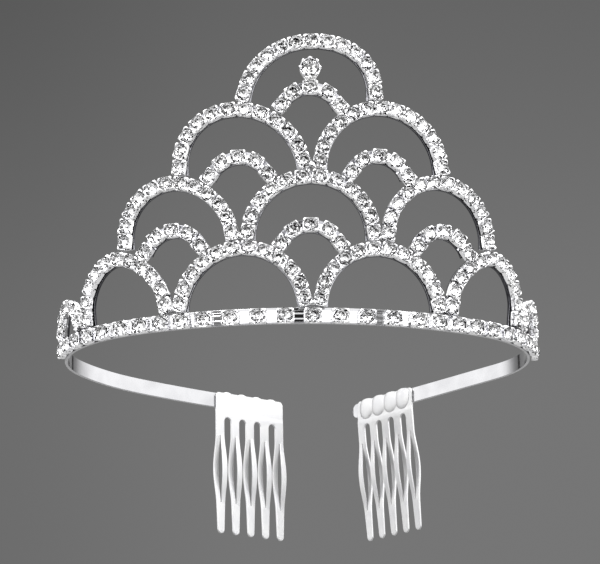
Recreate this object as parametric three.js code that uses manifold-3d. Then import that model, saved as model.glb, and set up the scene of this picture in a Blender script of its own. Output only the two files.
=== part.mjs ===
// Bridal tiara: a springy metal head band that carries a scalloped wall of
// rhinestone cup-chain arches, a finial stone, and a slide-in comb on each end.
// Units are millimetres, +Z is up, and the front of the tiara faces -Y.
// The origin is the middle of the head ring, in the plane of the band's lower edge.
//
// The wall is laid out flat in (s, z): s runs along the band's middle line,
// 0 at the front and positive to the right, and z is the height. onWall() and
// framesAlong() wrap that sheet round the head ring.
import * as THREE from "three";
import Module from "manifold-3d";

const wasm = await Module();
wasm.setup();

// Head band: a flat strip bent to an open ring.
const BAND_HEIGHT = 4.6;
const BAND_THICKNESS = 0.9;
const RING_MIDDLE = 55; // the front of the band lies this far in front of the origin
// Bends from the front centre outwards, as [radius, length]; a straight has radius Infinity.
const LEFT_ARM = [[90, 52], [42, 60], [84, 33], [290, 30], [Infinity, 28]];
const RIGHT_ARM = [[90, 52], [42, 65], [Infinity, 70.6]];
const BAND_STEP = 4;

// Arch strips and the square cups that stand in front of them.
const STRIP_WIDTH = 3.8;
const STRIP_THICKNESS = 0.7;
const STRIP_STEPS = 14;
const CUP = { width: 3.9, length: 4.2, back: 0.75, link: 1.15, rim: 2.5, table: 3.3, inset: 0.85 };
const BAND_CUP = { width: 4.2, length: 4.7, back: 0.75, link: 1.15, rim: 2.5, table: 3.3, inset: 0.85 };
const CUP_PITCH = 4.65;
const FOOT_CLEARANCE = 2.4; // from the end of a strip to the middle of its first cup
const BAND_CUP_STEPS = [[4, 7.65], [9, 6.35]]; // [number of cups, pitch] from the front centre outwards

// Arches of the scalloped wall. from and to are the feet, crown the top of the centre line,
// seats the heights the two feet stand at, lean the sideways set of the crown, and point
// makes the arch fuller (below 1) or more pointed (above 1) than a half circle.
const ARCHES = [
  ["row1_large_left", -37.2, -2.4, 22.1, [4.9, 4.9], 0, 1.02],
  ["row1_large_right", 2.4, 36.9, 22.0, [4.9, 4.9], 0, 1.0],
  ["row1_outer_left", -68.8, -41.85, 22.6, [4.9, 4.9], -2.5, 1.16],
  ["row1_outer_right", 41.4, 66.6, 23.2, [4.9, 4.9], 3.0, 1.16],
  ["row1_end_left", -88.9, -74.0, 13.3, [5.2, 5.2], 0, 1.0],
  ["row1_end_right", 71.7, 86.6, 13.3, [5.2, 5.2], 0, 1.0],
  ["row2_left", -53.9, -22.3, 42.6, [25.0, 24.5], -2.2, 1.03],
  ["row2_centre", -17.65, 17.45, 42.6, [24.5, 24.5], 0.5, 0.98],
  ["row2_right", 22.15, 54.7, 43.3, [24.5, 25.7], 0.8, 1.0],
  ["row3_left", -36.8, -1.8, 62.9, [44.9, 45.0], -2.1, 0.98],
  ["row3_right", 2.85, 38.9, 63.6, [45.0, 45.7], 0.3, 1.0],
  ["row4_top", -18.5, 18.5, 82.8, [65.2, 66.0], 2.1, 0.93],
].map(([name, from, to, crown, seats, lean, point]) => (
  { name, from, to, crown, seats, lean, point }));

// Small arches that bridge the valleys between two neighbours, each part of a circle.
const INFILL_RADIUS = 9.1;
const INFILL_STRIP_ANGLE = 70;
const INFILL_CUP_ANGLE = 60;
const INFILL_CUPS = 5;
const INFILLS = [
  { name: "infill1_left", middle: -39.6, crown: 28.6 },
  { name: "infill1_centre", middle: -0.2, crown: 28.3 },
  { name: "infill1_right", middle: 39.2, crown: 28.8 },
  { name: "infill2_left", middle: -20.2, crown: 48.7 },
  { name: "infill2_right", middle: 19.8, crown: 49.3 },
  { name: "infill3_top", middle: 0.3, crown: 68.9 },
];

// Finial: a round claw cup on top of the highest infill.
const FINIAL = {
  s: 0.3, z: 74.6, radius: 3.1, back: 0.75, plate: 1.45, claw: 3.3, claws: 8, foot: 71.15,
};
const FINIAL_STONE = { radius: 2.4, back: 1.75, girdle: 2.5, table: 3.4, tableRadius: 1.4 };

// Combs, in their own frame: u along the band, n out of the ring, z up.
const COMB = {
  length: 27.7, thickness: 0.8, gap: 0.5, top: 4.5, tooth: 3.3, pitch: 6.1, teeth: 5,
  slotTop: -2.9, slitTop: -8.8, slitBottom: -30.4, tip: -39.9, slit: 0.3, bow: 1.1,
  lobe: 4.8, flapBottom: 1.6,
};
const COMB_SEATS = [
  { name: "comb_left", arm: LEFT_ARM, side: -1, inset: -0.6, splay: 0 },
  { name: "comb_right", arm: RIGHT_ARM, side: 1, inset: 3.2, splay: 0.075 },
];
const BOW_STEPS = 7;

const metal = (name, color, roughness) => {
  const material = new THREE.MeshStandardMaterial({ color, metalness: 1, roughness });
  material.name = name;
  return material;
};

const group = new THREE.Group();
group.name = "bridal_tiara";

function add(name, geometry, material) {
  const mesh = new THREE.Mesh(geometry, material);
  mesh.name = name;
  group.add(mesh);
}

// Point and outward direction of the band's middle line at s.
function planAt(s) {
  const side = s < 0 ? -1 : 1;
  let left = Math.abs(s);
  let x = 0;
  let y = -RING_MIDDLE;
  let turn = 0;
  const arm = s < 0 ? LEFT_ARM : RIGHT_ARM;
  arm.forEach(([radius, length], i) => {
    const run = i === arm.length - 1 ? left : Math.min(left, length);
    const end = turn + run / radius;
    if (radius === Infinity) {
      x += run * Math.cos(turn);
      y += run * Math.sin(turn);
    } else {
      x += radius * (Math.sin(end) - Math.sin(turn));
      y += radius * (Math.cos(turn) - Math.cos(end));
    }
    turn = end;
    left -= run;
  });
  return { x: side * x, y, nx: side * Math.sin(turn), ny: -Math.cos(turn) };
}

const armLength = (arm) => arm.reduce((sum, [, length]) => sum + length, 0);

function onWall(s, z, out) {
  const p = planAt(s);
  return new THREE.Vector3(p.x + out * p.nx, p.y + out * p.ny, z);
}

// Frames along a path of (s, z) points: t along the path, n out of the ring, w across.
// An upright path starts straight up and ends straight down.
function framesAlong(path, upright = false) {
  return path.map(([s, z], i) => {
    const before = path[Math.max(i - 1, 0)];
    const after = path[Math.min(i + 1, path.length - 1)];
    const p = planAt(s);
    const n = new THREE.Vector3(p.nx, p.ny, 0);
    const t = onWall(after[0], after[1], 0).sub(onWall(before[0], before[1], 0));
    if (upright && (i === 0 || i === path.length - 1)) t.set(0, 0, i === 0 ? 1 : -1);
    t.addScaledVector(n, -t.dot(n)).normalize();
    return { o: onWall(s, z, 0), t, n, w: new THREE.Vector3().crossVectors(n, t) };
  });
}

const place = (f, along, across, out) =>
  f.o.clone().addScaledVector(f.t, along).addScaledVector(f.w, across).addScaledVector(f.n, out);

function meshOf(points, faces) {
  const geometry = new THREE.BufferGeometry();
  const numbers = points.flatMap((p) => p.toArray());
  geometry.setAttribute("position", new THREE.Float32BufferAttribute(numbers, 3));
  geometry.setIndex(faces);
  geometry.computeVertexNormals();
  return geometry;
}

// A closed skin over rings of points, each ring counter-clockwise seen from the far end.
function skin(rings) {
  const count = rings[0].length;
  const faces = [];
  const at = (ring, k) => ring * count + (k % count);
  for (let ring = 0; ring + 1 < rings.length; ring++) {
    for (let k = 0; k < count; k++) {
      faces.push(at(ring, k), at(ring, k + 1), at(ring + 1, k + 1));
      faces.push(at(ring, k), at(ring + 1, k + 1), at(ring + 1, k));
    }
  }
  for (let k = 1; k + 1 < count; k++) {
    faces.push(at(0, 0), at(0, k + 1), at(0, k));
    faces.push(at(rings.length - 1, 0), at(rings.length - 1, k), at(rings.length - 1, k + 1));
  }
  return meshOf(rings.flat(), faces);
}

// A flat strip of rectangular section that follows the frames.
function ribbon(frames, width, inner, outer) {
  return skin(frames.map((f) => [
    place(f, 0, -width / 2, inner),
    place(f, 0, width / 2, inner),
    place(f, 0, width / 2, outer),
    place(f, 0, -width / 2, outer),
  ]));
}

// A row of square cups, each with its stone as a bevelled top, joined by flat links.
function cupChain(frames, cup) {
  const points = [];
  const faces = [];
  const quad = (a, b, c, d) => faces.push(a, b, c, a, c, d);
  const corners = [[-1, -1], [1, -1], [1, 1], [-1, 1]];
  frames.forEach((f, i) => {
    const first = i * 16;
    const levels = [[cup.back, 0], [cup.link, 0], [cup.rim, 0], [cup.table, cup.inset]];
    for (const [out, inset] of levels) {
      for (const [a, b] of corners) {
        points.push(place(f, a * (cup.length / 2 - inset), b * (cup.width / 2 - inset), out));
      }
    }
    const at = (level, k) => first + level * 4 + (k % 4);
    quad(at(0, 0), at(0, 3), at(0, 2), at(0, 1));
    quad(at(3, 0), at(3, 1), at(3, 2), at(3, 3));
    for (let k = 0; k < 4; k++) {
      const linked = (k === 1 && i + 1 < frames.length) || (k === 3 && i > 0);
      for (let level = linked ? 1 : 0; level < 3; level++) {
        quad(at(level, k), at(level, k + 1), at(level + 1, k + 1), at(level + 1, k));
      }
    }
    if (i + 1 < frames.length) {
      const next = (level, k) => at(level, k) + 16;
      quad(at(0, 1), at(0, 2), next(0, 3), next(0, 0));
      quad(at(1, 1), next(1, 0), next(1, 3), at(1, 2));
      quad(at(0, 1), next(0, 0), next(1, 0), at(1, 1));
      quad(next(0, 3), at(0, 2), at(1, 2), next(1, 3));
    }
  });
  return meshOf(points, faces);
}

// The centre line of an arch, as count + 1 points evenly spaced along the wall.
function archLine(arch) {
  const half = (arch.to - arch.from) / 2;
  const middle = (arch.to + arch.from) / 2;
  const line = [];
  for (let i = 0; i <= 120; i++) {
    const angle = Math.PI * (1 - i / 120);
    const across = Math.sign(Math.cos(angle)) * Math.abs(Math.cos(angle)) ** arch.point;
    const up = Math.sin(angle) ** arch.point;
    const seat = arch.seats[i < 60 ? 0 : 1];
    const spring = Math.max(arch.crown - half, seat);
    const z = spring + (arch.crown - spring) * up;
    line.push([middle + half * across + (arch.lean * (z - seat)) / (arch.crown - seat), z]);
  }
  const feet = [[arch.from, arch.seats[0]], [arch.to, arch.seats[1]]];
  if (line[0][1] > feet[0][1] + 0.2) line.unshift(feet[0]);
  if (line[line.length - 1][1] > feet[1][1] + 0.2) line.push(feet[1]);
  return line;
}

function circleLine(infill, degrees) {
  const line = [];
  const span = THREE.MathUtils.degToRad(degrees);
  for (let i = 0; i <= 60; i++) {
    const angle = span * (i / 30 - 1);
    const z = infill.crown - INFILL_RADIUS * (1 - Math.cos(angle));
    line.push([infill.middle + INFILL_RADIUS * Math.sin(angle), z]);
  }
  return line;
}

// Points spaced evenly along a line, measured out on the wall, from start to the length less end.
function spaced(line, count, start, end, out) {
  const lengths = [0];
  for (let i = 1; i < line.length; i++) {
    const step = onWall(...line[i], out).distanceTo(onWall(...line[i - 1], out));
    lengths.push(lengths[i - 1] + step);
  }
  const total = lengths[lengths.length - 1] - start - end;
  const steps = typeof count === "function" ? count(total) : count;
  const points = [];
  for (let k = 0; k <= steps; k++) {
    const target = start + (total * k) / steps;
    const reached = lengths.findIndex((l) => l >= target);
    const i = reached < 0 ? line.length - 1 : Math.max(reached, 1);
    const share = (target - lengths[i - 1]) / (lengths[i] - lengths[i - 1]);
    points.push([
      line[i - 1][0] + share * (line[i][0] - line[i - 1][0]),
      line[i - 1][1] + share * (line[i][1] - line[i - 1][1]),
    ]);
  }
  return points;
}

function addArch(name, stripPoints, cupPoints, upright) {
  const half = STRIP_THICKNESS / 2;
  const strip = ribbon(framesAlong(stripPoints, upright), STRIP_WIDTH, -half, half);
  add(name + "_strip", strip, metal("strip_silver", 0xd9dbe0, 0.22));
  add(name + "_stones", cupChain(framesAlong(cupPoints), CUP), metal("stone_chain", 0xf2f5fa, 0.12));
}

function addBand() {
  const left = armLength(LEFT_ARM);
  const right = armLength(RIGHT_ARM);
  const steps = Math.round((left + right) / BAND_STEP);
  const middle = [];
  for (let i = 0; i <= steps; i++) {
    middle.push([-left + ((left + right) * i) / steps, BAND_HEIGHT / 2]);
  }
  const strip = ribbon(framesAlong(middle), BAND_HEIGHT, -BAND_THICKNESS / 2, BAND_THICKNESS / 2);
  add("head_band", strip, metal("band_silver", 0xe2e4e8, 0.16));
  const offsets = [0];
  for (const [count, pitch] of BAND_CUP_STEPS) {
    for (let i = 0; i < count; i++) offsets.push(offsets[offsets.length - 1] + pitch);
  }
  const places = [...offsets.slice(1).reverse().map((s) => -s), ...offsets];
  const chain = cupChain(framesAlong(places.map((s) => [s, BAND_HEIGHT / 2])), BAND_CUP);
  add("band_stones", chain, metal("stone_chain", 0xf2f5fa, 0.12));
}

const solidOf = (geometry, matrix) => {
  const g = geometry.index ? geometry.toNonIndexed() : geometry.clone();
  if (matrix) g.applyMatrix4(matrix);
  const mesh = new wasm.Mesh({
    numProp: 3,
    vertProperties: g.attributes.position.array,
    triVerts: Uint32Array.from({ length: g.attributes.position.count }, (_, i) => i),
  });
  mesh.merge();
  return new wasm.Manifold(mesh);
};

function joined(geometries) {
  const mesh = wasm.Manifold.union(geometries.map((g) => solidOf(g))).getMesh();
  const geometry = new THREE.BufferGeometry();
  geometry.setAttribute("position", new THREE.Float32BufferAttribute(mesh.vertProperties, 3));
  geometry.setIndex(Array.from(mesh.triVerts));
  geometry.computeVertexNormals();
  return geometry;
}

// A round disc or frustum whose axis points out of the ring, from a closed profile of [radius, out].
function turned(frame, profile, segments) {
  const lathe = new THREE.LatheGeometry(profile.map(([r, h]) => new THREE.Vector2(r, h)), segments);
  const basis = new THREE.Matrix4().makeBasis(frame.w, frame.n, frame.t);
  return lathe.applyMatrix4(basis.setPosition(frame.o));
}

function addFinial() {
  const [frame] = framesAlong([[FINIAL.s, FINIAL.z], [FINIAL.s, FINIAL.z + 1]]);
  const plate = turned(frame, [[0, FINIAL.back], [FINIAL.radius - 0.5, FINIAL.back],
    [FINIAL.radius, FINIAL.plate], [0, FINIAL.plate]], 24);
  const pieces = [plate];
  for (let i = 0; i < FINIAL.claws; i++) {
    const angle = (2 * Math.PI * (i + 0.5)) / FINIAL.claws;
    const ring = [-0.32, 0.32].flatMap((side) => [FINIAL.radius - 0.38, FINIAL.radius].map((r) => {
      const across = r * Math.sin(angle) + side * Math.cos(angle);
      const along = r * Math.cos(angle) - side * Math.sin(angle);
      return [along, across];
    }));
    const order = [0, 1, 3, 2];
    pieces.push(skin([FINIAL.plate - 0.3, FINIAL.claw].map((out) =>
      order.map((k) => place(frame, ring[k][0], ring[k][1], out)))));
  }
  const foot = FINIAL.foot - FINIAL.z;
  pieces.push(skin([[foot, 1.0], [-1.2, 2.3]].map(([along, half]) => [
    place(frame, along, -half, FINIAL.back),
    place(frame, along, half, FINIAL.back),
    place(frame, along, half, FINIAL.plate),
    place(frame, along, -half, FINIAL.plate),
  ])));
  add("finial_cup", joined(pieces), metal("finial_silver", 0xe2e4e8, 0.16));
  const stone = turned(frame, [[0, FINIAL_STONE.back], [FINIAL_STONE.radius, FINIAL_STONE.girdle],
    [FINIAL_STONE.tableRadius, FINIAL_STONE.table], [0, FINIAL_STONE.table]], 16);
  add("finial_stone", stone, metal("finial_glass", 0xffffff, 0.05));
}

// A plate cut from an outline in (u, z), lying between inner and outer.
function plate(shape, inner, outer) {
  const depth = outer - inner;
  const solid = new THREE.ExtrudeGeometry(shape, { depth, bevelEnabled: false, curveSegments: 6 });
  return solid.rotateX(Math.PI / 2).translate(0, outer, 0);
}

// The back plate of a comb: rounded top corners and round-topped slots between the teeth.
function combOutline() {
  const half = COMB.length / 2;
  const corner = 1.4;
  const slot = COMB.pitch - COMB.tooth;
  const shape = new THREE.Shape();
  shape.moveTo(-half, COMB.slitTop);
  for (let i = 0; i < COMB.teeth; i++) {
    const left = -half + i * COMB.pitch;
    shape.lineTo(left + COMB.tooth, COMB.slitTop);
    if (i + 1 < COMB.teeth) {
      const middle = left + COMB.tooth + slot / 2;
      shape.lineTo(left + COMB.tooth, COMB.slotTop - slot / 2);
      shape.absarc(middle, COMB.slotTop - slot / 2, slot / 2, Math.PI, 0, true);
      shape.lineTo(left + COMB.pitch, COMB.slitTop);
    }
  }
  shape.lineTo(half, COMB.top - corner);
  shape.absarc(half - corner, COMB.top - corner, corner, 0, Math.PI / 2, false);
  shape.absarc(-half + corner, COMB.top - corner, corner, Math.PI / 2, Math.PI, false);
  shape.closePath();
  return shape;
}

function tipOutline(left) {
  const round = COMB.tooth / 2 - 0.25;
  const middle = left + COMB.tooth / 2;
  const shape = new THREE.Shape();
  shape.moveTo(left, COMB.slitBottom);
  shape.lineTo(middle - round, COMB.tip + round);
  shape.absarc(middle, COMB.tip + round, round, Math.PI, 2 * Math.PI, false);
  shape.lineTo(left + COMB.tooth, COMB.slitBottom);
  shape.closePath();
  return shape;
}

// One of the two legs of a split tooth, bowed out of the plate's plane.
function toothLeg(left, right, inner, outer, bow) {
  const rings = [];
  for (let i = 0; i <= BOW_STEPS; i++) {
    const share = i / BOW_STEPS;
    const z = COMB.slitTop + 0.2 + share * (COMB.slitBottom - COMB.slitTop - 0.4);
    const shift = bow * Math.sin(Math.PI * share) ** 2;
    rings.push([[left, inner], [left, outer], [right, outer], [right, inner]].map(
      ([u, n]) => new THREE.Vector3(u, n + shift, z)));
  }
  return skin(rings);
}

// A rounded tab that goes up from the plate, over the band's edge and down its outer face.
function foldedLobe(middle, inner) {
  const bandOut = BAND_THICKNESS / 2 + COMB.gap;
  const thickness = COMB.thickness;
  const top = BAND_HEIGHT + COMB.gap;
  const rise = thickness * 0.9;
  const path = [
    [inner, COMB.top - 0.9, -bandOut, COMB.top - 0.9, 1],
    [inner, top, -bandOut, top, 1],
    [inner + 0.5, top + rise, -bandOut + 0.1, top, 0.94],
    [bandOut + thickness - 0.5, top + rise, bandOut - 0.1, top, 0.94],
    [bandOut + thickness, top, bandOut, top, 1],
    [bandOut + thickness, COMB.flapBottom + 1.6, bandOut, COMB.flapBottom + 1.6, 1],
    [bandOut + thickness, COMB.flapBottom, bandOut, COMB.flapBottom, 0.5],
  ];
  return skin(path.map(([n0, z0, n1, z1, share]) => {
    const half = (COMB.lobe / 2) * share;
    return [[middle - half, n0, z0], [middle + half, n0, z0], [middle + half, n1, z1],
      [middle - half, n1, z1]].map((p) => new THREE.Vector3(...p));
  }));
}

// inset is the bare end of the band beyond the comb, and splay how far the teeth lean out
// for each millimetre they go down. The split teeth bow opposite ways on the two sides.
function addComb({ name, arm, side, inset, splay }) {
  const p = planAt(side * (armLength(arm) - inset - COMB.length / 2));
  const inner = -(BAND_THICKNESS / 2 + COMB.gap + COMB.thickness);
  const outer = inner + COMB.thickness;
  const pieces = [plate(combOutline(), inner, outer)];
  for (let i = 0; i < COMB.teeth; i++) {
    const left = -COMB.length / 2 + i * COMB.pitch;
    const leg = (COMB.tooth - COMB.slit) / 2;
    pieces.push(toothLeg(left, left + leg, inner, outer, -side * COMB.bow));
    pieces.push(toothLeg(left + COMB.tooth - leg, left + COMB.tooth, inner, outer, side * COMB.bow));
    pieces.push(plate(tipOutline(left), inner, outer));
    if (i + 1 < COMB.teeth) pieces.push(foldedLobe(left + (COMB.tooth + COMB.pitch) / 2, inner));
  }
  const comb = joined(pieces);
  const position = comb.attributes.position;
  for (let i = 0; i < position.count; i++) {
    const drop = Math.max(0, COMB.slotTop - position.getZ(i));
    position.setY(i, position.getY(i) + splay * drop);
  }
  const along = new THREE.Vector3(p.ny, -p.nx, 0);
  const out = new THREE.Vector3(p.nx, p.ny, 0);
  const basis = new THREE.Matrix4().makeBasis(along, out, new THREE.Vector3(0, 0, 1));
  comb.applyMatrix4(basis.setPosition(p.x, p.y, 0));
  comb.computeVertexNormals();
  add(name, comb, metal("comb_silver", 0xe6e7ea, 0.34));
}

addBand();
for (const arch of ARCHES) {
  const line = archLine(arch);
  const out = CUP.rim;
  const cups = (length) => Math.round(length / CUP_PITCH);
  addArch(arch.name, spaced(line, STRIP_STEPS, 0, 0, 0),
    spaced(line, cups, FOOT_CLEARANCE, FOOT_CLEARANCE, out), true);
}
for (const infill of INFILLS) {
  addArch(infill.name, spaced(circleLine(infill, INFILL_STRIP_ANGLE), 8, 0, 0, 0),
    spaced(circleLine(infill, INFILL_CUP_ANGLE), INFILL_CUPS - 1, 0, 0, CUP.rim), false);
}
addFinial();
COMB_SEATS.forEach(addComb);

export default group;
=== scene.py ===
import math
import random

import bmesh
import bpy
import numpy as np
from mathutils import Matrix, Vector


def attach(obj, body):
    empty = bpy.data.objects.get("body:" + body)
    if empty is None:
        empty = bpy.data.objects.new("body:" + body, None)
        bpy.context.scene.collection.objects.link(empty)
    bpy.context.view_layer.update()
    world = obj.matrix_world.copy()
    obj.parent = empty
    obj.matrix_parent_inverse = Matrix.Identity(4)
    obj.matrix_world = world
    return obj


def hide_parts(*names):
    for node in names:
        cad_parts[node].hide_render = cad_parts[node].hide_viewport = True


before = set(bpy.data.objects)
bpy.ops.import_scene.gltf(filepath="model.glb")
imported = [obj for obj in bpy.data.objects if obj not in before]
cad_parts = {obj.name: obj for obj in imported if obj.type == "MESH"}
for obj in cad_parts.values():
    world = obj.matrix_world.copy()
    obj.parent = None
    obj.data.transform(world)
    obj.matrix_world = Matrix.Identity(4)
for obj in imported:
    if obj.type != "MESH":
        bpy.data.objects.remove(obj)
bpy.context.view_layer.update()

# Every size below is in millimetres; meshes are written in metres.
MM = 0.001

# Layout of the tiara. s runs along the band's middle line, 0 at the front and positive to
# the right, and z is the height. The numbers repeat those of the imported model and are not
# worked out from the frame. Six differ, because the visible pieces are finer than the solids:
# STRIP_WIDTH, FOOT_CLEARANCE, INFILL_CUP_ANGLE, COMB_THICKNESS, COMB_GAP and COMB_TOP.
# The two arms and most rows of ARCHES started as a least-squares fit, by a program that is
# not handed in, to edges marked in the picture. They were rounded or adjusted afterwards.
BAND_HEIGHT = 4.6
BAND_THICKNESS = 0.9
RING_MIDDLE = 55
LEFT_ARM = [(90, 52), (42, 60), (84, 33), (290, 30), (math.inf, 28)]
RIGHT_ARM = [(90, 52), (42, 65), (math.inf, 70.6)]
BAND_CUP_STEPS = [(4, 7.65), (9, 6.35)]
STRIP_WIDTH = 4.0
STRIP_THICKNESS = 0.7
CUP_BACK = 0.75
CUP_RIM = 2.5
CUP_PITCH = 4.65
FOOT_CLEARANCE = 2.1
ARCHES = [
    ("row1_large_left", -37.2, -2.4, 22.1, (4.9, 4.9), 0, 1.02),
    ("row1_large_right", 2.4, 36.9, 22.0, (4.9, 4.9), 0, 1.0),
    ("row1_outer_left", -68.8, -41.85, 22.6, (4.9, 4.9), -2.5, 1.16),
    ("row1_outer_right", 41.4, 66.6, 23.2, (4.9, 4.9), 3.0, 1.16),
    ("row1_end_left", -88.9, -74.0, 13.3, (5.2, 5.2), 0, 1.0),
    ("row1_end_right", 71.7, 86.6, 13.3, (5.2, 5.2), 0, 1.0),
    ("row2_left", -53.9, -22.3, 42.6, (25.0, 24.5), -2.2, 1.03),
    ("row2_centre", -17.65, 17.45, 42.6, (24.5, 24.5), 0.5, 0.98),
    ("row2_right", 22.15, 54.7, 43.3, (24.5, 25.7), 0.8, 1.0),
    ("row3_left", -36.8, -1.8, 62.9, (44.9, 45.0), -2.1, 0.98),
    ("row3_right", 2.85, 38.9, 63.6, (45.0, 45.7), 0.3, 1.0),
    ("row4_top", -18.5, 18.5, 82.8, (65.2, 66.0), 2.1, 0.93),
]
INFILL_RADIUS = 9.1
INFILL_STRIP_ANGLE = 70
INFILL_CUP_ANGLE = 65
INFILL_CUPS = 5
INFILLS = [
    ("infill1_left", -39.6, 28.6),
    ("infill1_centre", -0.2, 28.3),
    ("infill1_right", 39.2, 28.8),
    ("infill2_left", -20.2, 48.7),
    ("infill2_right", 19.8, 49.3),
    ("infill3_top", 0.3, 68.9),
]
FINIAL_S = 0.3
FINIAL_Z = 74.6
COMB_LENGTH = 27.7
COMB_THICKNESS = 0.6
COMB_GAP = 0.05
COMB_TOP = 4.85
TOOTH = 3.3
TOOTH_PITCH = 6.1
TEETH = 5
SLOT_TOP = -2.9
SLIT_TOP = -8.8
SLIT_BOTTOM = -30.4
COMB_TIP = -39.9
SLIT = 0.3
BOW = 1.1
FLAP_BOTTOM = 1.6

# Finer shapes that only the visible pieces have. The heights of a stone are distances out
# from the middle of its strip.
CUP_LENGTH = 4.5
CUP_WIDTH = 4.05
BAND_CUP_LENGTH = 5.05
BAND_CUP_WIDTH = 4.35
STONE_CUT = (1.95, 2.3, 3.2, 1.2)  # radius, and how far out the girdle, table and culet are
STONE_TILT = 2.0
STONE_PIVOT = 2.2
STONE_SEED = 7
FINIAL_CUT = (2.6, 2.45, 3.62, 1.55)
CUP_SQUARENESS = 11  # the power of the rounded square; 2 would be an oval
CUP_CLAW_ANGLE = 21
FINIAL_CLAW_ANGLE = 15
FINIAL_CLAWS = 8
LINK_FOOT = 0.5
LINK_OVERLAP = 0.15
FOOT_GATHER = 0.3  # the soldered feet of neighbouring chains are pressed together by this
BAND_CUP_DROP = 0.3
BAND_BEVEL = 0.14
STRIP_BEVEL = 0.12
COMB_BEVEL = 0.16
COMB_PRESS = 0.06
PRESS_START = -1.9
PRESS_LENGTH = 0.8
LEG_OVERLAP = 0.2
TIP_OVERLAP = 0.3
TIP_NARROWING = 0.35
COMB_CORNER = 1.4
LEG_SWELL = 0.27
TAB_LINING = 0.2


# ---------------------------------------------------------------- layout of the wall

class Frame:
    """A place on the wall: o its point, t along a path, n out of the ring, w across."""

    def __init__(self, o, t, n):
        self.o = o
        self.t = t
        self.n = n
        self.w = np.cross(n, t)

    def at(self, along, across, out):
        return self.o + along * self.t + across * self.w + out * self.n


def plan_at(s):
    """Point and outward direction of the band's middle line at s."""
    side = -1 if s < 0 else 1
    left = abs(s)
    x, y, turn = 0.0, -float(RING_MIDDLE), 0.0
    arm = LEFT_ARM if s < 0 else RIGHT_ARM
    for i, (radius, length) in enumerate(arm):
        run = left if i == len(arm) - 1 else min(left, length)
        end = turn + run / radius
        if radius == math.inf:
            x += run * math.cos(turn)
            y += run * math.sin(turn)
        else:
            x += radius * (math.sin(end) - math.sin(turn))
            y += radius * (math.cos(turn) - math.cos(end))
        turn = end
        left -= run
    point = np.array([side * x, y, 0.0])
    return point, np.array([side * math.sin(turn), -math.cos(turn), 0.0])


def arm_length(arm):
    return sum(length for _, length in arm)


def on_wall(s, z, out=0.0):
    point, normal = plan_at(s)
    return point + out * normal + np.array([0.0, 0.0, z])


def unit(v):
    return v / np.linalg.norm(v)


def frames_along(path, upright=False):
    """Frames at (s, z) points. An upright path starts straight up and ends straight down."""
    frames = []
    for i, (s, z) in enumerate(path):
        before = path[max(i - 1, 0)]
        after = path[min(i + 1, len(path) - 1)]
        normal = plan_at(s)[1]
        t = on_wall(*after) - on_wall(*before)
        if upright and i in (0, len(path) - 1):
            t = np.array([0.0, 0.0, 1.0 if i == 0 else -1.0])
        frames.append(Frame(on_wall(s, z), unit(t - t.dot(normal) * normal), normal))
    return frames


def arch_line(start, end, crown, seats, lean, point):
    """The centre line of an arch: a half circle made fuller or more pointed, on stilts."""
    half, middle = (end - start) / 2, (end + start) / 2
    line = []
    for i in range(241):
        angle = math.pi * (1 - i / 240)
        across = math.copysign(abs(math.cos(angle)) ** point, math.cos(angle))
        up = max(math.sin(angle), 0.0) ** point
        seat = seats[0 if i < 120 else 1]
        spring = max(crown - half, seat)
        z = spring + (crown - spring) * up
        line.append((middle + half * across + lean * (z - seat) / (crown - seat), z))
    if line[0][1] > seats[0] + 0.2:
        line.insert(0, (start, seats[0]))
    if line[-1][1] > seats[1] + 0.2:
        line.append((end, seats[1]))
    return line


def circle_line(middle, crown, degrees):
    span = math.radians(degrees)
    angles = [span * (i / 60 - 1) for i in range(121)]
    return [(middle + INFILL_RADIUS * math.sin(a), crown - INFILL_RADIUS * (1 - math.cos(a)))
            for a in angles]


def line_length(line, out):
    points = [on_wall(s, z, out) for s, z in line]
    return np.cumsum([0.0] + [np.linalg.norm(b - a) for a, b in zip(points, points[1:])])


def spaced(line, steps, margin=0.0, out=0.0):
    """steps + 1 points spaced evenly along a line, leaving a margin at both ends."""
    lengths = line_length(line, out)
    targets = np.linspace(margin, lengths[-1] - margin, steps + 1)
    s = np.interp(targets, lengths, [p[0] for p in line])
    z = np.interp(targets, lengths, [p[1] for p in line])
    return list(zip(s, z))


# ---------------------------------------------------------------- mesh building

class Shape:
    """Points and faces of one piece, each face with its material's number and its tone."""

    def __init__(self):
        self.points = []
        self.faces = []
        self.slots = []
        self.tones = []

    def add(self, points, faces, slot=0):
        first = len(self.points)
        self.points.extend(points)
        self.faces.extend([tuple(first + k for k in face) for face in faces])
        self.slots.extend([slot] * len(faces))
        self.tones.extend([1.0] * len(faces))

    def loft(self, rings, slot=0):
        """A skin over rings, each counter-clockwise seen from the last ring's end."""
        count = len(rings[0])
        faces = []
        for ring in range(len(rings) - 1):
            for k in range(count):
                a, b = ring * count + k, ring * count + (k + 1) % count
                faces.append((a, b, b + count, a + count))
        faces.append(tuple(reversed(range(count))))
        faces.append(tuple((len(rings) - 1) * count + k for k in range(count)))
        self.add([p for ring in rings for p in ring], faces, slot)

    def piece(self, name, materials, nodes, slot, sharp=35):
        mesh = bpy.data.meshes.new(name)
        mesh.from_pydata([tuple(float(c) * MM for c in p) for p in self.points], [], self.faces)
        for material in materials:
            mesh.materials.append(material)
        mesh.polygons.foreach_set("material_index", self.slots)
        mesh.polygons.foreach_set("use_smooth", [True] * len(self.faces))
        tone = mesh.attributes.new("tone", "FLOAT", "FACE")
        tone.data.foreach_set("value", self.tones)
        mesh.update()
        mesh.set_sharp_from_angle(angle=math.radians(sharp))
        piece = placed(mesh, name, nodes)
        # Large flat faces keep their own direction beside small bevels.
        flats = piece.modifiers.new("flats", "WEIGHTED_NORMAL")
        flats.keep_sharp = True
        return piece


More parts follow.
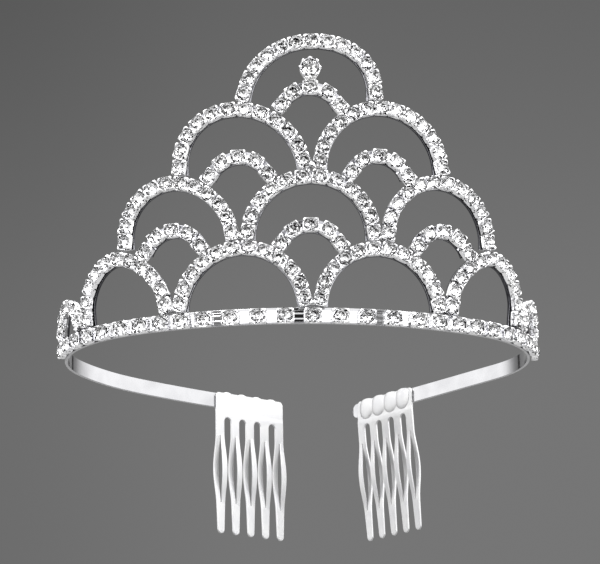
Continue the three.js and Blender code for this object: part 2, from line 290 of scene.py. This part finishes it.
def placed(mesh, name, nodes):
    piece = bpy.data.objects.new(name, mesh)
    bpy.context.scene.collection.objects.link(piece)
    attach(piece, "root")
    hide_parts(*nodes)
    return piece


def rounded_section(half, inner, outer, bevel, steps=3):
    """A rounded rectangle in (across, out), counter-clockwise."""
    corners = [(half - bevel, outer - bevel, 0), (-half + bevel, outer - bevel, 90),
               (-half + bevel, inner + bevel, 180), (half - bevel, inner + bevel, 270)]
    section = []
    for across, out, start in corners:
        for i in range(steps + 1):
            angle = math.radians(start + 90 * i / steps)
            section.append((across + bevel * math.cos(angle), out + bevel * math.sin(angle)))
    return section


def ribbon(shape, frames, half, thick, bevel):
    """A strip with its two narrow edges in the material slot 1, which holds near-black painted
    shade.
    """
    section = rounded_section(half, -thick, thick, bevel)
    shape.loft([[f.at(0, across, out) for across, out in section] for f in frames])
    count = len(section)
    for i in range((len(frames) - 1) * count):
        corner, following = section[i % count], section[(i + 1) % count]
        if min(abs(corner[0]), abs(following[0])) > half - 0.7 * bevel:
            shape.slots[i] = 1


# ---------------------------------------------------------------- cups and stones

def claw_share(angle, claws, half_width):
    """1 in the middle of a claw, falling smoothly to 0 at its sides."""
    step = 2 * math.pi / claws
    off = (angle - step / 2) % step
    off = min(off, step - off)
    return math.sqrt(max(0.0, 1 - (off / half_width) ** 2))


def squared(angle, length, width):
    """A point of a rounded rectangle."""
    c, s = math.cos(angle), math.sin(angle)
    r = (abs(c) ** CUP_SQUARENESS + abs(s) ** CUP_SQUARENESS) ** (-1 / CUP_SQUARENESS)
    return r * c * length / 2, r * s * width / 2


def square_cup(shape, f, length, width):
    """A pressed square cup with low walls and a claw at each corner."""
    count = 48
    # Each level is [size at a side, size at a claw, height at a side, height at a claw].
    levels = [
        (0.93, 0.92, 0.75, 0.75),
        (0.99, 0.98, 0.86, 0.86),
        (1.00, 0.99, 1.15, 1.15),
        (1.00, 1.00, 2.05, 2.3),
        (0.99, 0.975, 2.2, 2.58),
        (0.96, 0.90, 2.26, 2.8),
        (0.93, 0.80, 2.24, 2.88),
        (0.915, 0.735, 2.16, 2.8),
        (0.905, 0.76, 2.0, 2.5),
        (0.90, 0.82, 1.45, 1.45),
    ]
    rings = []
    for side, claw, low, high in levels:
        ring = []
        for k in range(count):
            angle = 2 * math.pi * k / count
            share = claw_share(angle, 4, math.radians(CUP_CLAW_ANGLE))
            a, b = squared(angle, length, width)
            size = side + (claw - side) * share
            ring.append(f.at(a * size, b * size, low + (high - low) * share))
        rings.append(ring)
    shape.loft(rings)


def link(shape, f, g, length, bars):
    """Bright flat bars between two cups, each given as (across, half width, thickness)."""
    for across, half, thickness in bars:
        rings = []
        for end, side in ((f, 1), (g, -1)):
            at = side * (length / 2 - LINK_OVERLAP)
            section = rounded_section(half, LINK_FOOT, LINK_FOOT + thickness,
                                      min(0.06, thickness / 3), 2)
            rings.append([end.at(at, across + a, out) for a, out in section])
        shape.loft(rings, 1)


def brilliant(shape, f, cut, turn, tones):
    """A round stone: 8 star, 8 kite and 16 girdle facets over a foiled pavilion."""
    radius, girdle, table, culet = cut
    table_radius = 0.54 * radius
    star_radius = 0.80 * radius
    belly_radius = 0.52 * radius

    def ring(count, r, out, shift):
        angles = [turn + 2 * math.pi * (k + shift) / count for k in range(count)]
        return [f.at(r * math.cos(a), r * math.sin(a), out) for a in angles]

    def kite_height(r, inner, inner_out, outer_out):
        across = r * math.cos(math.pi / 8)
        return inner_out + (across - inner) / (radius - inner) * (outer_out - inner_out)

    above, below = girdle + 0.07, girdle - 0.07
    points = (ring(8, table_radius, table, 0)
              + ring(8, star_radius, kite_height(star_radius, table_radius, table, above), 0.5)
              + ring(16, radius, above, 0)
              + ring(16, radius, below, 0)
              + ring(8, belly_radius, kite_height(belly_radius, 0, culet, below), 0.5)
              + [f.at(0, 0, culet)])
    t, s, g, h, b, c = 0, 8, 16, 32, 48, 56
    crown = [tuple(t + k for k in range(8))]
    pavilion = []
    for k in range(8):
        after, before = (k + 1) % 8, (k - 1) % 8
        g0, g1, g2 = 2 * k, 2 * k + 1, (2 * k + 2) % 16
        crown.append((t + after, t + k, s + k))
        crown.append((t + k, s + before, g + g0, s + k))
        crown.append((s + k, g + g0, g + g1))
        crown.append((s + k, g + g1, g + g2))
        crown.append((g + g0, h + g0, h + g1, g + g1))
        crown.append((g + g1, h + g1, h + g2, g + g2))
        pavilion.append((c, b + k, h + g0, b + before))
        pavilion.append((b + k, h + g1, h + g0))
        pavilion.append((b + k, h + g2, h + g1))
    shape.add(points, crown + pavilion, 0)
    for i in range(len(pavilion)):
        shape.slots[-1 - i] = 1
        shape.tones[-1 - i] = tones.choice((1.0, 1.0, 1.0, 0.95, 0.9, 0.8))


def chain(name, frames, length, width, bars, materials, node):
    """A row of cups with their links, and the stones that sit in them."""
    cups, stones = Shape(), Shape()
    chance = random.Random(name + str(STONE_SEED))
    for f in frames:
        square_cup(cups, f, length, width)
        brilliant(stones, tilted(f, chance), STONE_CUT, chance.uniform(0, math.pi / 4), chance)
    for f, g in zip(frames, frames[1:]):
        link(cups, f, g, length, bars)
    cups.piece(name + "_cups", [materials["cup"], materials["link"]], [node], "stone_chain")
    stones.piece(name + "_crystals", [materials["crystal"], materials["foil"]], [node],
                 "stone_chain", sharp=1)


def tilted(f, chance):
    """The frame turned by up to STONE_TILT degrees, as a stone sits in its cup."""
    a, b = (math.radians(chance.uniform(-STONE_TILT, STONE_TILT)) for _ in range(2))
    n = unit(f.n + a * f.t + b * f.w)
    seat = f.o + STONE_PIVOT * f.n - STONE_PIVOT * n
    return Frame(seat, unit(f.t - f.t.dot(n) * n), n)


# ---------------------------------------------------------------- band, arches and finial

def add_band(materials):
    left, right = arm_length(LEFT_ARM), arm_length(RIGHT_ARM)
    steps = 240
    half, thick = BAND_HEIGHT / 2, BAND_THICKNESS / 2
    # The two ends of the strip are rounded off.
    ends = [half * (1 - math.cos(math.radians(a))) for a in (10, 25, 40, 55, 70, 90)]
    body = [-left + half + (left + right - 2 * half) * i / steps for i in range(1, steps)]
    places = [-left + e for e in ends] + body + [right - e for e in reversed(ends)]
    rings = []
    for s, f in zip(places, frames_along([(s, half) for s in places])):
        inset = half - min(half, min(s + left, right - s))
        height = math.sqrt(half ** 2 - inset ** 2)
        rings.append([f.at(0, across, out) for across, out in
                      rounded_section(height, -thick, thick, BAND_BEVEL)])
    band = Shape()
    band.loft(rings)
    band.piece("head_band_strip", [materials["band"]], ["head_band"], "band_silver")
    offsets = [0.0]
    for count, pitch in BAND_CUP_STEPS:
        for _ in range(count):
            offsets.append(offsets[-1] + pitch)
    places = [-s for s in reversed(offsets[1:])] + offsets
    frames = frames_along([(s, half - BAND_CUP_DROP) for s in places])
    bars = [(0.0, 1.7, 0.3), (-0.75, 0.18, 0.5), (0.75, 0.18, 0.5)]
    chain("band", frames, BAND_CUP_LENGTH, BAND_CUP_WIDTH, bars, materials, "band_stones")


def add_arch(name, strip_line, cup_line, cups, margin, upright, materials):
    strip = Shape()
    frames = frames_along(spaced(strip_line, 56), upright)
    ribbon(strip, frames, STRIP_WIDTH / 2, STRIP_THICKNESS / 2, STRIP_BEVEL)
    strip.piece(name + "_backing", [materials["strip"], materials["edge"]], [name + "_strip"],
                "strip_silver")
    frames = frames_along(spaced(cup_line, cups - 1, margin, CUP_RIM))
    chain(name, frames, CUP_LENGTH, CUP_WIDTH, [(0.0, 0.6, 0.55)], materials,
          name + "_stones")


def add_wall(materials):
    for name, start, end, crown, seats, lean, point in ARCHES:
        line = arch_line(start, end, crown, seats, lean, point)
        gathered = arch_line(start - FOOT_GATHER, end + FOOT_GATHER, crown, seats, lean, point)
        free = line_length(line, CUP_RIM)[-1] - 2 * FOOT_CLEARANCE
        cups = round(free / CUP_PITCH) + 1
        add_arch(name, line, gathered, cups, FOOT_CLEARANCE, True, materials)
    for name, middle, crown in INFILLS:
        add_arch(name, circle_line(middle, crown, INFILL_STRIP_ANGLE),
                 circle_line(middle, crown, INFILL_CUP_ANGLE), INFILL_CUPS, 0.0, False, materials)


def add_finial(materials):
    f = frames_along([(FINIAL_S, FINIAL_Z), (FINIAL_S, FINIAL_Z + 1)])[0]
    cup = Shape()
    # Each level is [radius at a side, radius at a claw, height at a side, height at a claw].
    levels = [
        (2.2, 2.2, 0.75, 0.75),
        (2.6, 2.6, 0.9, 0.9),
        (2.85, 2.9, 1.5, 1.5),
        (2.95, 3.2, 2.1, 2.5),
        (2.92, 3.26, 2.3, 2.9),
        (2.84, 3.14, 2.36, 3.3),
        (2.74, 2.86, 2.34, 3.45),
        (2.66, 2.46, 2.2, 3.35),
        (2.6, 2.5, 1.9, 2.6),
        (2.4, 2.4, 1.5, 1.5),
    ]
    rings = []
    for side, claw, low, high in levels:
        ring = []
        for k in range(96):
            angle = 2 * math.pi * k / 96
            share = claw_share(angle + math.pi / FINIAL_CLAWS, FINIAL_CLAWS,
                               math.radians(FINIAL_CLAW_ANGLE))
            r = side + (claw - side) * share
            ring.append(f.at(r * math.cos(angle), r * math.sin(angle),
                             low + (high - low) * share))
        rings.append(ring)
    cup.loft(rings)
    # The basket below the cup narrows to the foot on the infill.
    sections = [(-4.1, 1.05, 1.5), (-3.3, 1.45, 1.6), (-2.3, 2.2, 2.0), (-1.2, 2.8, 2.2),
                (-0.3, 3.0, 2.2)]
    cup.loft([[f.at(along, a, out) for a, out in rounded_section(half, CUP_BACK, top, 0.3)]
              for along, half, top in sections])
    cup.piece("finial_setting", [materials["cup"]], ["finial_cup"], "finial_silver")
    stone = Shape()
    brilliant(stone, f, FINIAL_CUT, 0.2, random.Random(STONE_SEED))
    stone.piece("finial_crystal", [materials["crystal"], materials["foil"]], ["finial_stone"],
                "finial_glass", sharp=1)


# ---------------------------------------------------------------- combs

def arc(cx, cz, radius, start, end, steps=10):
    """Points on a circle from the start angle to the end angle, in degrees."""
    angles = [math.radians(start + (end - start) * i / steps) for i in range(steps + 1)]
    return [(cx + radius * math.cos(a), cz + radius * math.sin(a)) for a in angles]


def sheet_metal(outline, inner):
    """A flat plate with rounded edges from an outline in (u, z), as points and faces."""
    curve = bpy.data.curves.new("outline", "CURVE")
    curve.dimensions = "2D"
    curve.fill_mode = "BOTH"
    curve.extrude = COMB_THICKNESS / 2 - COMB_BEVEL
    curve.bevel_depth = COMB_BEVEL
    curve.bevel_resolution = 2
    curve.offset = -COMB_BEVEL
    spline = curve.splines.new("POLY")
    spline.points.add(len(outline) - 1)
    for point, (u, z) in zip(spline.points, outline):
        point.co = (u, z, 0, 1)
    spline.use_cyclic_u = True
    holder = bpy.data.objects.new("outline", curve)
    bpy.context.scene.collection.objects.link(holder)
    bpy.context.view_layer.update()
    evaluated = holder.evaluated_get(bpy.context.evaluated_depsgraph_get())
    mesh = bpy.data.meshes.new_from_object(evaluated)
    bpy.data.objects.remove(holder)
    bpy.data.curves.remove(curve)
    made = bmesh.new()
    made.from_mesh(mesh)
    bpy.data.meshes.remove(mesh)
    bmesh.ops.remove_doubles(made, verts=made.verts, dist=1e-4)
    # The cuts give the plate points to bend at, where it is pressed back above the slots.
    for level in (-0.7, -1.1, -1.5, -1.9, -2.3):
        everything = made.verts[:] + made.edges[:] + made.faces[:]
        bmesh.ops.bisect_plane(made, geom=everything, plane_co=(0, level, 0),
                               plane_no=(0, 1, 0))
    bmesh.ops.recalc_face_normals(made, faces=made.faces)
    made.verts.index_update()
    points = [np.array([v.co.x, inner + COMB_THICKNESS / 2 - v.co.z, v.co.y]) for v in made.verts]
    faces = [tuple(v.index for v in face.verts) for face in made.faces]
    made.free()
    return points, faces


def comb_outline():
    """The plate: rounded top corners and round-topped slots between the teeth."""
    half, corner = COMB_LENGTH / 2, COMB_CORNER
    slot = TOOTH_PITCH - TOOTH
    outline = []
    for i in range(TEETH):
        left = -half + i * TOOTH_PITCH
        outline.append((left, SLIT_TOP - LEG_OVERLAP))
        outline.append((left + TOOTH, SLIT_TOP - LEG_OVERLAP))
        if i + 1 < TEETH:
            outline.extend(arc(left + TOOTH + slot / 2, SLOT_TOP - slot / 2, slot / 2, 180, 0))
    outline.extend(arc(half - corner, COMB_TOP - corner, corner, 0, 90))
    outline.extend(arc(-half + corner, COMB_TOP - corner, corner, 90, 180))
    return outline


def tip_outline(left):
    """The tapered and rounded end of one tooth, below its slit."""
    middle, radius = left + TOOTH / 2, TOOTH / 2 - TIP_NARROWING
    outline = [(left, SLIT_BOTTOM + TIP_OVERLAP)]
    outline.extend(arc(middle, COMB_TIP + radius, radius, 180, 360))
    outline.append((left + TOOTH, SLIT_BOTTOM + TIP_OVERLAP))
    return outline


def tooth_leg(shape, left, right, inner, bow):
    """One of the two halves of a split tooth, bowed out of the plate's plane."""
    steps = 28
    middle, half = (left + right) / 2, (right - left) / 2
    start = SLIT_BOTTOM - LEG_OVERLAP
    length = SLIT_TOP - SLIT_BOTTOM + 2 * LEG_OVERLAP
    rings = []
    for i in range(steps + 1):
        share = i / steps
        swell = 1 + LEG_SWELL * math.sin(math.pi * share) ** 2
        section = rounded_section(half * swell, inner, inner + COMB_THICKNESS, COMB_BEVEL)
        shift = bow * math.sin(math.pi * share) ** 1.6
        rings.append([np.array([middle - u, n + shift, start + share * length])
                      for u, n in section])
    shape.loft(rings)


def folded_lobe(shape, middle, inner, low, bulge, width):
    """A rounded tab that starts at the height low, pads the plate's inner face by bulge, goes
    over the band's edge and down its outer face. With a negative bulge it starts inside the
    plate and shows only above it."""
    outer = BAND_THICKNESS / 2 + COMB_GAP + COMB_THICKNESS
    top = BAND_HEIGHT + COMB_GAP + COMB_THICKNESS
    rise = top - low
    spine = [(inner + 0.05, low, 0.3), (inner - 0.5 * bulge, low + 0.08 * rise, 0.62),
             (inner - 0.85 * bulge, low + 0.22 * rise, 0.86),
             (inner - bulge, low + 0.45 * rise, 1.0),
             (inner - 0.95 * bulge, low + 0.68 * rise, 1.0),
             (inner - 0.7 * bulge, low + 0.86 * rise, 0.96),
             (inner - 0.3 * bulge + 0.05, top - 0.07, 0.9), (inner + 0.55, top, 0.84),
             (outer - 0.55, top, 0.84), (outer - 0.1, top - 0.2, 0.9),
             (outer, 4.2, 1.0), (outer, FLAP_BOTTOM + 1.3, 0.95), (outer - 0.05, FLAP_BOTTOM, 0.5)]
    steps = 12
    rings = []
    for i, (n, z, share) in enumerate(spine):
        before, after = spine[max(i - 1, 0)], spine[min(i + 1, len(spine) - 1)]
        along = unit(np.array([after[0] - before[0], after[1] - before[1]]))
        depth = TAB_LINING if n < inner + 0.3 else COMB_THICKNESS
        inward = np.array([along[1], -along[0]]) * depth
        half = width / 2 * share
        face, back = [], []
        for k in range(steps + 1):
            across = 2 * k / steps - 1
            drop = 0.5 * across ** 2 * max(0.0, min(1.0, (z - 3.2) / 1.8))
            sink = (0.8 * bulge if n < 0 else 0.1) * across ** 4
            shift = sink if n < 0 else -sink
            face.append(np.array([middle + half * across, n + shift, z - drop]))
            back.append(np.array([middle + half * across * 0.96, n + shift + inward[0],
                                  z + inward[1] - drop]))
        rings.append(face + list(reversed(back)))
    shape.loft(rings)


def add_comb(name, arm, side, inset, splay, lobe, material):
    """inset is the bare end of the band beyond the comb, splay how far the teeth lean out
    for each millimetre they go down, and lobe the (low end, bulge, width) of its tabs."""
    point, normal = plan_at(side * (arm_length(arm) - inset - COMB_LENGTH / 2))
    inner = -(BAND_THICKNESS / 2 + COMB_GAP + COMB_THICKNESS)
    comb = Shape()
    comb.add(*sheet_metal(comb_outline(), inner))
    leg = (TOOTH - SLIT) / 2
    for i in range(TEETH):
        left = -COMB_LENGTH / 2 + i * TOOTH_PITCH
        tooth_leg(comb, left, left + leg, inner, -side * BOW)
        tooth_leg(comb, left + TOOTH - leg, left + TOOTH, inner, side * BOW)
        comb.add(*sheet_metal(tip_outline(left), inner))
        if i + 1 < TEETH:
            folded_lobe(comb, left + (TOOTH + TOOTH_PITCH) / 2, inner, *lobe)
    along = np.array([normal[1], -normal[0], 0.0])
    moved = []
    for u, n, z in comb.points:
        # The plate is pressed back a little above the slots.
        press = COMB_PRESS * min(max((z - PRESS_START) / PRESS_LENGTH, 0.0), 1.0)
        out = n + splay * max(0.0, SLOT_TOP - z) + press
        moved.append(point + u * along + out * normal + np.array([0.0, 0.0, z]))
    comb.points = moved
    comb.piece(name + "_stamped", [material], [name], "comb_silver", sharp=40)


# ---------------------------------------------------------------- materials

DRIFT_SCALE = 160
GRAIN_SCALE = 2600
GRAIN_DEPTH = 0.02 * MM
# The next two scales set the cells in a metre of the painted dark specks, a painted reflection: on
# cups and crystals, then on the foil.
SPECK_SCALE = 2400
FOIL_PAINTED_SPECK_SCALE = 2300


def new_material(name):
    material = bpy.data.materials.new(name)
    material.use_nodes = True
    nodes = material.node_tree.nodes
    return material, nodes, material.node_tree.links, nodes["Principled BSDF"]


def noise(nodes, links, scale, detail, stretch=(1, 1, 1)):
    """Noise fixed to the object, with scale cells in a metre."""
    place = nodes.new("ShaderNodeTexCoord")
    mapping = nodes.new("ShaderNodeMapping")
    mapping.inputs["Scale"].default_value = stretch
    texture = nodes.new("ShaderNodeTexNoise")
    texture.inputs["Scale"].default_value = scale
    texture.inputs["Detail"].default_value = detail
    links.new(place.outputs["Object"], mapping.inputs["Vector"])
    links.new(mapping.outputs["Vector"], texture.inputs["Vector"])
    return texture.outputs["Fac"]


def spread(nodes, links, value, low, high):
    """The middle part of a noise, stretched to the range from low to high."""
    ranged = nodes.new("ShaderNodeMapRange")
    ranged.inputs["From Min"].default_value = 0.3
    ranged.inputs["From Max"].default_value = 0.7
    ranged.inputs["To Min"].default_value = low
    ranged.inputs["To Max"].default_value = high
    links.new(value, ranged.inputs["Value"])
    return ranged.outputs["Result"]


def specks(nodes, links, scale, share):
    """0 in a share of small random cells and 1 in the others."""
    place = nodes.new("ShaderNodeTexCoord")
    cells = nodes.new("ShaderNodeTexVoronoi")
    cells.inputs["Scale"].default_value = scale
    links.new(place.outputs["Object"], cells.inputs["Vector"])
    split = nodes.new("ShaderNodeSeparateColor")
    links.new(cells.outputs["Color"], split.inputs["Color"])
    sharpened = nodes.new("ShaderNodeMapRange")
    sharpened.inputs["From Min"].default_value = share - 0.03
    sharpened.inputs["From Max"].default_value = share + 0.03
    links.new(split.outputs["Red"], sharpened.inputs["Value"])
    return sharpened.outputs["Result"]


def ramp(nodes, links, value, stops):
    """Colours for a value, from (place, colour) stops."""
    made = nodes.new("ShaderNodeValToRGB")
    elements = made.color_ramp.elements
    while len(elements) < len(stops):
        elements.new(0.5)
    for element, (place, colour) in zip(elements, stops):
        element.position = place
        element.color = (*colour, 1)
    links.new(value, made.inputs["Fac"])
    return made.outputs["Color"]


def bump(nodes, links, height, distance, strength):
    made = nodes.new("ShaderNodeBump")
    made.inputs["Distance"].default_value = distance
    made.inputs["Strength"].default_value = strength
    links.new(height, made.inputs["Height"])
    return made.outputs["Normal"]


def silver(name, light, dull, roughness, grain=(1, 1, 1), relief=0.25, painted_speck_share=0.0):
    """Silver plate: slow tone drift, fine polishing grain, varied gloss, and painted dark specks,
    a painted reflection standing in for facets too small to model, over a share of the surface."""
    material, nodes, links, shader = new_material(name)
    drift = noise(nodes, links, DRIFT_SCALE, 4)
    fine = noise(nodes, links, GRAIN_SCALE, 3, grain)
    shader.inputs["Metallic"].default_value = 1
    tone = ramp(nodes, links, drift, [(0.35, dull), (0.62, light)])
    # Painted reflection: near-black specks mixed into the colour, in place of dark reflections in
    # facets too small to model.
    if painted_speck_share:
        mix = nodes.new("ShaderNodeMix")
        mix.data_type = "RGBA"
        mix.inputs["A"].default_value = (0.02, 0.02, 0.02, 1)
        links.new(specks(nodes, links, SPECK_SCALE, painted_speck_share), mix.inputs["Factor"])
        links.new(tone, mix.inputs["B"])
        tone = mix.outputs["Result"]
    links.new(tone, shader.inputs["Base Color"])
    links.new(spread(nodes, links, fine, *roughness), shader.inputs["Roughness"])
    links.new(bump(nodes, links, fine, GRAIN_DEPTH, relief), shader.inputs["Normal"])
    return material


def crystal_material():
    """Clear glass with painted dark specks in its colour, a painted reflection standing in for the
    smallest facets.
    """
    material, nodes, links, shader = new_material("clear_crystal")
    film = noise(nodes, links, 900, 3)
    # Painted reflection: near-black specks over 17 per cent of the stone, in place of the dark
    # glints of its smallest facets.
    links.new(ramp(nodes, links, specks(nodes, links, SPECK_SCALE, 0.17),
                   [(0.0, (0.004, 0.004, 0.004)), (1.0, (1.0, 1.0, 1.0))]),
              shader.inputs["Base Color"])
    shader.inputs["Transmission Weight"].default_value = 1
    shader.inputs["IOR"].default_value = 1.6
    links.new(spread(nodes, links, film, 0.0, 0.03), shader.inputs["Roughness"])
    return material


def foil_material():
    """The mirror coat behind a stone, with darker facets at random and painted dark specks, a
    painted reflection standing in for the pavilion's repeated reflections.
    """
    material, nodes, links, shader = new_material("foil_coat")
    tone = nodes.new("ShaderNodeAttribute")
    tone.attribute_name = "tone"
    # Painted reflection: black specks over 15 per cent of the foil, in place of the pavilion's
    # repeated reflections.
    painted_specks = specks(nodes, links, FOIL_PAINTED_SPECK_SCALE, 0.15)
    shade = nodes.new("ShaderNodeMath")
    shade.operation = "MULTIPLY"
    links.new(tone.outputs["Fac"], shade.inputs[0])
    links.new(painted_specks, shade.inputs[1])
    shader.inputs["Metallic"].default_value = 1
    links.new(ramp(nodes, links, shade.outputs["Value"],
                   [(0.0, (0.01, 0.01, 0.012)), (1.0, (0.98, 0.98, 0.99))]),
              shader.inputs["Base Color"])
    film = noise(nodes, links, 1500, 2)
    links.new(spread(nodes, links, film, 0.02, 0.08), shader.inputs["Roughness"])
    return material


def floor_material():
    material, nodes, links, shader = new_material("pale_floor")
    drift = noise(nodes, links, 3, 3)
    links.new(ramp(nodes, links, drift, [(0.3, (0.3, 0.3, 0.3)), (0.7, (0.32, 0.32, 0.32))]),
              shader.inputs["Base Color"])
    shader.inputs["Roughness"].default_value = 0.9
    return material


# ---------------------------------------------------------------- studio

# The camera looks up at the band from a little below and from the left. AIM, YAW, ROLL and
# LENS are the result of the same least-squares fit.
AIM = Vector((0.001418, 0.0, 0.025837))
DISTANCE = 1.0
RISE = math.radians(14)
YAW = math.radians(4.985)
ROLL = -0.016
LENS = 201
FLOOR_Z = -0.45
FLOOR_HALF = 4.0


def add_camera():
    camera = bpy.data.objects.new("camera", bpy.data.cameras.new("camera"))
    bpy.context.scene.collection.objects.link(camera)
    look = Vector((math.sin(YAW) * math.cos(RISE), math.cos(YAW) * math.cos(RISE),
                   math.sin(RISE)))
    right = look.cross(Vector((0, 0, 1))).normalized()
    up = right.cross(look)
    turned_right = math.cos(ROLL) * right + math.sin(ROLL) * up
    turned_up = math.cos(ROLL) * up - math.sin(ROLL) * right
    rotation = Matrix((turned_right, turned_up, -look)).transposed()
    camera.matrix_world = Matrix.Translation(AIM - DISTANCE * look) @ rotation.to_4x4()
    camera.data.sensor_width = 36
    camera.data.lens = LENS
    camera.data.clip_start = 0.05
    camera.data.clip_end = 20
    bpy.context.scene.camera = camera


def add_floor():
    mesh = bpy.data.meshes.new("studio_floor")
    corners = [(-1, -1), (1, -1), (1, 1), (-1, 1)]
    mesh.from_pydata([(x * FLOOR_HALF, y * FLOOR_HALF, FLOOR_Z) for x, y in corners], [],
                     [(0, 1, 2, 3)])
    mesh.materials.append(floor_material())
    floor = bpy.data.objects.new("studio_floor", mesh)
    bpy.context.scene.collection.objects.link(floor)


def add_softbox(name, place, size, power):
    light = bpy.data.lights.new(name, "AREA")
    light.shape = "RECTANGLE"
    light.size, light.size_y = size
    light.energy = power
    lamp = bpy.data.objects.new(name, light)
    lamp.location = place
    lamp.rotation_mode = "QUATERNION"
    lamp.rotation_quaternion = (AIM - Vector(place)).to_track_quat("-Z", "Y")
    lamp.visible_camera = False
    bpy.context.scene.collection.objects.link(lamp)


def add_world():
    """A white tent with a grey backdrop, a dark stand and dark seams, all in reflection;
    seen directly it is the plain grey backdrop."""
    world = bpy.data.worlds.new("studio")
    bpy.context.scene.world = world
    world.use_nodes = True
    nodes, links = world.node_tree.nodes, world.node_tree.links
    background = nodes["Background"]
    place = nodes.new("ShaderNodeTexCoord")
    axes = nodes.new("ShaderNodeSeparateXYZ")
    links.new(place.outputs["Generated"], axes.inputs["Vector"])

    def step(value, low, high, start, end):
        made = nodes.new("ShaderNodeMapRange")
        made.interpolation_type = "SMOOTHSTEP"
        made.inputs["From Min"].default_value = low
        made.inputs["From Max"].default_value = high
        made.inputs["To Min"].default_value = start
        made.inputs["To Max"].default_value = end
        links.new(value, made.inputs["Value"])
        return made.outputs["Result"]

    def combine(kind, a, b):
        made = nodes.new("ShaderNodeMath")
        made.operation = kind
        for socket, value in zip(made.inputs, (a, b)):
            if isinstance(value, (int, float)):
                socket.default_value = value
            else:
                links.new(value, socket)
        return made.outputs["Value"]

    def away_from(value, middle):
        return combine("ABSOLUTE", combine("SUBTRACT", value, middle), 0)

    tent = step(axes.outputs["Z"], -0.3, 0.5, 1.6, 2.2)
    backdrop = step(axes.outputs["Y"], 0.42, 0.8, 1.0, 0.17)
    side = combine("ABSOLUTE", axes.outputs["X"], 0)
    upright = away_from(axes.outputs["Z"], 0.24)
    stand = combine("MAXIMUM", step(side, 0.08, 0.11, 0.0, 1.0),
                    step(upright, 0.14, 0.18, 0.0, 1.0))
    stand = combine("MAXIMUM", stand, step(axes.outputs["Y"], -0.6, -0.4, 0.01, 1.0))
    seam_z = step(away_from(axes.outputs["Z"], 0.62), 0.02, 0.05, 0.1, 1.0)
    seam_x = step(away_from(side, 0.5), 0.02, 0.05, 0.1, 1.0)
    tent = combine("MULTIPLY", tent, backdrop)
    tent = combine("MULTIPLY", tent, stand)
    tent = combine("MULTIPLY", tent, combine("MULTIPLY", seam_z, seam_x))
    seen = combine("ADD", step(axes.outputs["Z"], 0.2, 0.36, 0.18, 0.122),
                   step(axes.outputs["X"], -0.02, 0.08, -0.03, 0.0))
    path = nodes.new("ShaderNodeLightPath")
    mix = nodes.new("ShaderNodeMix")
    links.new(path.outputs["Is Camera Ray"], mix.inputs["Factor"])
    links.new(tent, mix.inputs["A"])
    links.new(seen, mix.inputs["B"])
    links.new(mix.outputs["Result"], background.inputs["Color"])


def main():
    add_camera()
    add_floor()
    add_world()
    add_softbox("key_softbox", (-0.7, -0.9, 1.0), (0.6, 0.6), 14)
    add_softbox("fill_softbox", (0.9, -0.8, 0.6), (0.5, 0.5), 8)
    bpy.context.scene.view_settings.view_transform = "Standard"
    materials = {
        "band": silver("band_plate", (0.45, 0.45, 0.46), (0.4, 0.4, 0.41), (0.06, 0.14),
                       (0.05, 0.05, 1.6), 0.12),
        "link": silver("link_plate", (0.85, 0.85, 0.86), (0.78, 0.78, 0.8), (0.02, 0.05)),
        # Painted shade: the strips' colour is darkened well below the cups' to stand in for the
        # shade on the underside and back of the arches.
        "strip": silver("strip_plate_painted_shade", (0.42, 0.42, 0.44), (0.3, 0.3, 0.32), (0.1, 0.22)),
        # Painted shade: near-black silver on the strips' narrow edges, in place of the dark gap
        # beside the cups.
        "edge": silver("strip_edge_painted_shade", (0.07, 0.07, 0.075), (0.03, 0.03, 0.035), (0.3, 0.45)),
        # The cups' colour holds painted dark specks, a painted reflection.
        "cup": silver("cup_plate", (0.98, 0.98, 0.98), (0.9, 0.9, 0.92), (0.08, 0.2), painted_speck_share=0.13),
        "crystal": crystal_material(),
        "foil": foil_material(),
    }
    satin = silver("comb_satin", (0.57, 0.57, 0.57), (0.53, 0.53, 0.54), (0.36, 0.48),
                   (1, 1, 0.12), 0.12)
    add_band(materials)
    add_wall(materials)
    add_finial(materials)
    add_comb("comb_left", LEFT_ARM, -1, -0.6, 0.0, (3.6, -0.04, 4.2), satin)
    add_comb("comb_right", RIGHT_ARM, 1, 3.2, 0.075, (-1.5, 0.42, 6.7), satin)


main()
